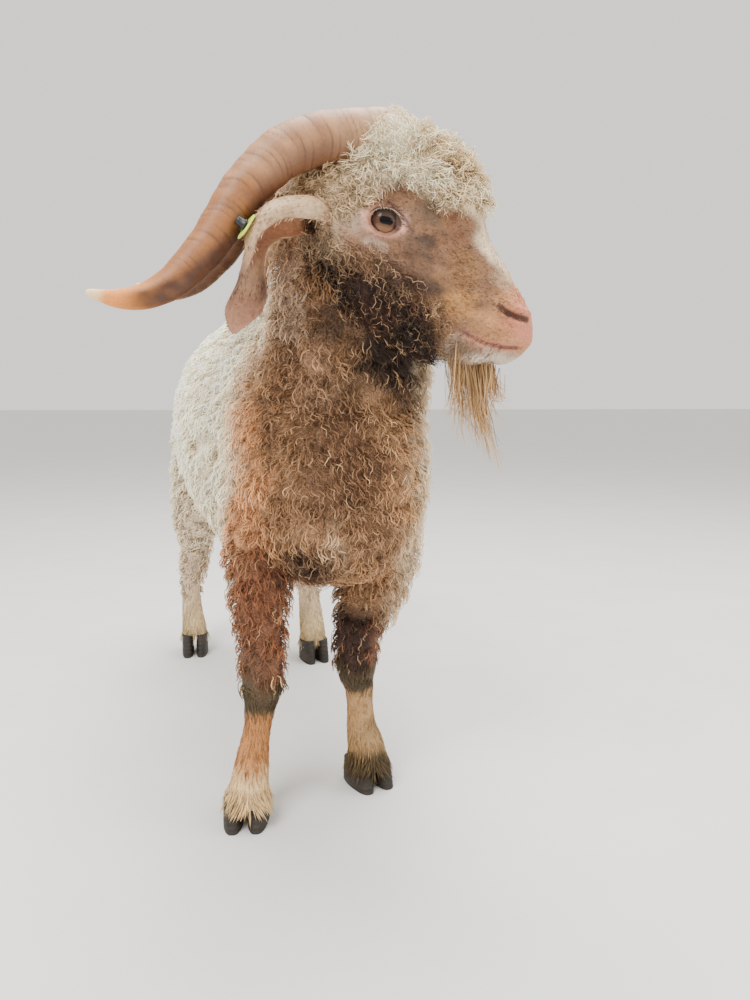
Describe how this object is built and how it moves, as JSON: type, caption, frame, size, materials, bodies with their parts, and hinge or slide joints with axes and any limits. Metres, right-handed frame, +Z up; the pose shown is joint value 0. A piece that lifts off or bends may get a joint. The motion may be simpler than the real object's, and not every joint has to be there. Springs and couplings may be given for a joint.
{
  "type": "angora goat",
  "caption": "Life-size standing Angora goat buck in full curly fleece, head turned to its left, with swept-back horns, drooping rolled ears, beard and one ear tag.",
  "frame": {"origin": "on the ground, under the centre of the whole object's box", "axes": "+Y from the chest to the tail, +Z up, +X to the goat's left; the head is turned to look along +X and a little down"},
  "size_m": [0.409, 0.9746, 0.7447],
  "materials": {
    "fleece": "off-white to cream wool in fine curls",
    "stained_fleece": "wool stained tan to red-brown",
    "short_hair": "short tan hair over pink skin",
    "horn": "ringed horn, peach to brown",
    "hoof": "dull dark hoof",
    "eye": "wet amber eye with a level bar pupil",
    "black_plastic": "smooth",
    "green_plastic": "smooth, unmarked"
  },
  "bodies": {
    "root": {"torso": "fleece", "neck": "stained_fleece", "head": "short_hair", "tail": "fleece", "foreleg_right": "stained_fleece", "foreleg_left": "stained_fleece", "hindleg_right": "fleece", "hindleg_left": "fleece", "fore_hoof_right_outer": "hoof", "fore_hoof_right_inner": "hoof", "fore_hoof_left_outer": "hoof", "fore_hoof_left_inner": "hoof", "hind_hoof_right_outer": "hoof", "hind_hoof_right_inner": "hoof", "hind_hoof_left_outer": "hoof", "hind_hoof_left_inner": "hoof", "horn_right": "horn", "horn_left": "horn", "ear_right": "short_hair", "ear_left": "short_hair", "eye_right": "eye", "eye_left": "eye", "ear_tag_plate": "green_plastic", "ear_tag_button": "black_plastic"}
  },
  "joints": []
}
